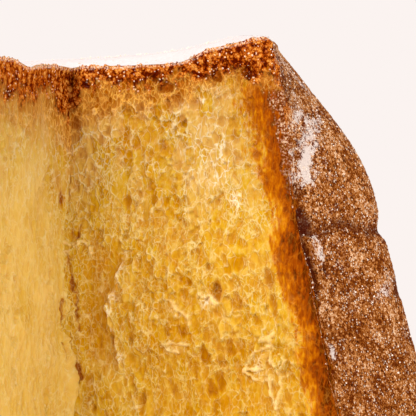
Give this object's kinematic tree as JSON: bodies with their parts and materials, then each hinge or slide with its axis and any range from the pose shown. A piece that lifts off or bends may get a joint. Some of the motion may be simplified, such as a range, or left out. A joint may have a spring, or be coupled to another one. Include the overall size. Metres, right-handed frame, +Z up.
{
  "type": "pandoro",
  "caption": "Tall star-shaped sweet bread that tapers to a dished top dusted with icing sugar, with a wedge cut out of it that shows the golden open crumb inside the browned crust.",
  "frame": {"origin": "on the loaf's axis, in the plane of its flat base", "axes": "+Z up along the loaf's axis; +X and -Y along the two valleys between which the quarter is cut out, so the cut faces lie in the planes Y = 0 and X = 0"},
  "size_m": [0.2076, 0.2079, 0.1903],
  "materials": {
    "crust": "browned, matte and grainy, lightly dusted with icing sugar",
    "crumb": "golden, soft and porous, slightly moist",
    "icing_sugar": "white powder"
  },
  "bodies": {
    "root": {"pandoro": "crust"}
  },
  "joints": []
}
